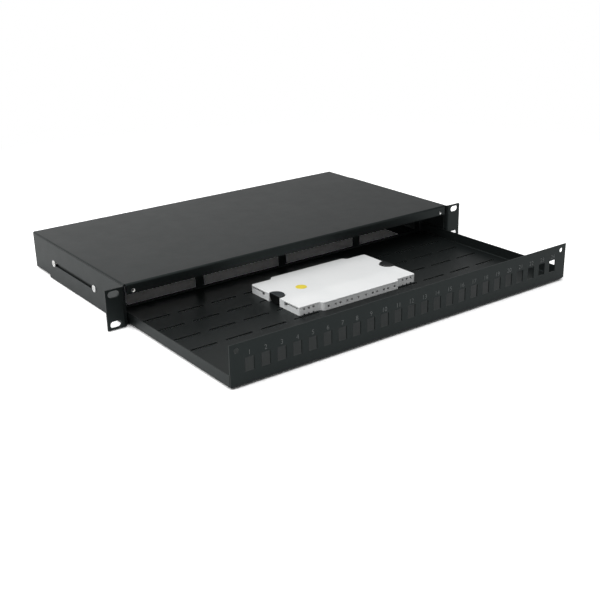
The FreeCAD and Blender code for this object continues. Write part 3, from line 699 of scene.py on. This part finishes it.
# The studio: a pale matt floor under the panel, one large soft lamp overhead, a smaller one on the left,
# and white walls all round under an unlit ceiling, which the coat and the plastic reflect.
FLOOR_SIZE = 12.0
FLOOR_PALE = (0.80, 0.80, 0.80)
FLOOR_WHITE = (1.45, 1.45, 1.45)
FLOOR_MIRRORED = (1.0, 1.0, 1.0)
FLOOR_FADE = (0.45, 0.9)
WALL_LIGHT = 0.40
CEILING_SIDE = (0.65, 0.0, 0.76)
CEILING_RANGE = (0.42, 0.66)
LAMP_AIM = Vector((0.0, -0.05, 0.0))
LAMPS = {
    "window_softbox": {"at": (-1.35, 0.30, 1.25), "size": 1.4, "watts": 21.0},
    "top_softbox": {"at": (0.00, -0.60, 1.75), "size": 1.8, "watts": 19.0},
}


def seen_directly(tree, mirrored=None):
    """1 for rays from the camera, from reflections and through glass, and 0 for rays that light the scene.

    Where mirrored is given, reflections count only as far as it says.
    """
    path = tree.nodes.new("ShaderNodeLightPath")
    glossy = path.outputs["Is Glossy Ray"]
    if mirrored:
        glossy = times(tree, glossy, mirrored)
    total = path.outputs["Is Camera Ray"]
    for kind in (glossy, path.outputs["Is Transmission Ray"]):
        either = tree.nodes.new("ShaderNodeMath")
        either.operation = "MAXIMUM"
        tree.links.new(total, either.inputs[0])
        tree.links.new(kind, either.inputs[1])
        total = either.outputs["Value"]
    return total


def wall_height(tree):
    """1 for the white walls near the floor, falling to 0 towards the unlit ceiling and the far right."""
    climb = tree.nodes.new("ShaderNodeVectorMath")
    climb.operation = "DOT_PRODUCT"
    climb.inputs[1].default_value = CEILING_SIDE
    tree.links.new(tree.nodes.new("ShaderNodeTexCoord").outputs["Generated"], climb.inputs[0])
    return remap(tree, climb.outputs["Value"], CEILING_RANGE, (1.0, 0.0))


def pale_floor(name):
    """A matt floor near the panel, which fades to plain white paper further off."""
    finish = bpy.data.materials.new(name)
    finish.use_nodes = True
    tree = finish.node_tree
    tree.nodes.remove(tree.nodes["Principled BSDF"])
    matt = tree.nodes.new("ShaderNodeBsdfDiffuse")
    camera_ray = tree.nodes.new("ShaderNodeLightPath").outputs["Is Camera Ray"]
    colour = tint(tree, seen_directly(tree), FLOOR_PALE, FLOOR_MIRRORED)
    tree.links.new(tint(tree, camera_ray, colour, FLOOR_WHITE), matt.inputs["Color"])
    distance = tree.nodes.new("ShaderNodeVectorMath")
    distance.operation = "LENGTH"
    tree.links.new(tree.nodes.new("ShaderNodeTexCoord").outputs["Object"], distance.inputs[0])
    far = remap(tree, distance.outputs["Value"], FLOOR_FADE, (0.0, 1.0))
    paper = tree.nodes.new("ShaderNodeEmission")
    blend = tree.nodes.new("ShaderNodeMixShader")
    tree.links.new(times(tree, far, seen_directly(tree)), blend.inputs["Fac"])
    tree.links.new(matt.outputs["BSDF"], blend.inputs[1])
    tree.links.new(paper.outputs["Emission"], blend.inputs[2])
    tree.links.new(blend.outputs["Shader"], tree.nodes["Material Output"].inputs["Surface"])
    return finish


reach = FLOOR_SIZE / 2
floor_level = cad_box[0].z
floor_corners = [(-reach, -reach), (reach, -reach), (reach, reach), (-reach, reach)]
floor_mesh = bpy.data.meshes.new("studio_floor")
floor_mesh.from_pydata([(x, y, floor_level) for x, y in floor_corners], [], [(0, 1, 2, 3)])
floor = add_piece("studio_floor", floor_mesh, pale_floor("pale_floor"))

world = bpy.data.worlds.new("studio_walls")
world.use_nodes = True
bpy.context.scene.world = world
walls = world.node_tree
background = walls.nodes["Background"]
background.inputs["Color"].default_value = (1, 1, 1, 1)
wall_light = remap(walls, seen_directly(walls, wall_height(walls)), (0.0, 1.0), (WALL_LIGHT, 1.0))
walls.links.new(wall_light, background.inputs["Strength"])

for name, lamp in LAMPS.items():
    lamp_data = bpy.data.lights.new(name, "AREA")
    lamp_data.shape = "SQUARE"
    lamp_data.size = lamp["size"]
    lamp_data.energy = lamp["watts"]
    lamp_object = bpy.data.objects.new(name, lamp_data)
    lamp_object.location = lamp["at"]
    lamp_object.rotation_mode = "QUATERNION"
    lamp_object.rotation_quaternion = (LAMP_AIM - lamp_object.location).to_track_quat("-Z", "Y")
    bpy.context.scene.collection.objects.link(lamp_object)

bpy.context.scene.view_settings.view_transform = "Standard"
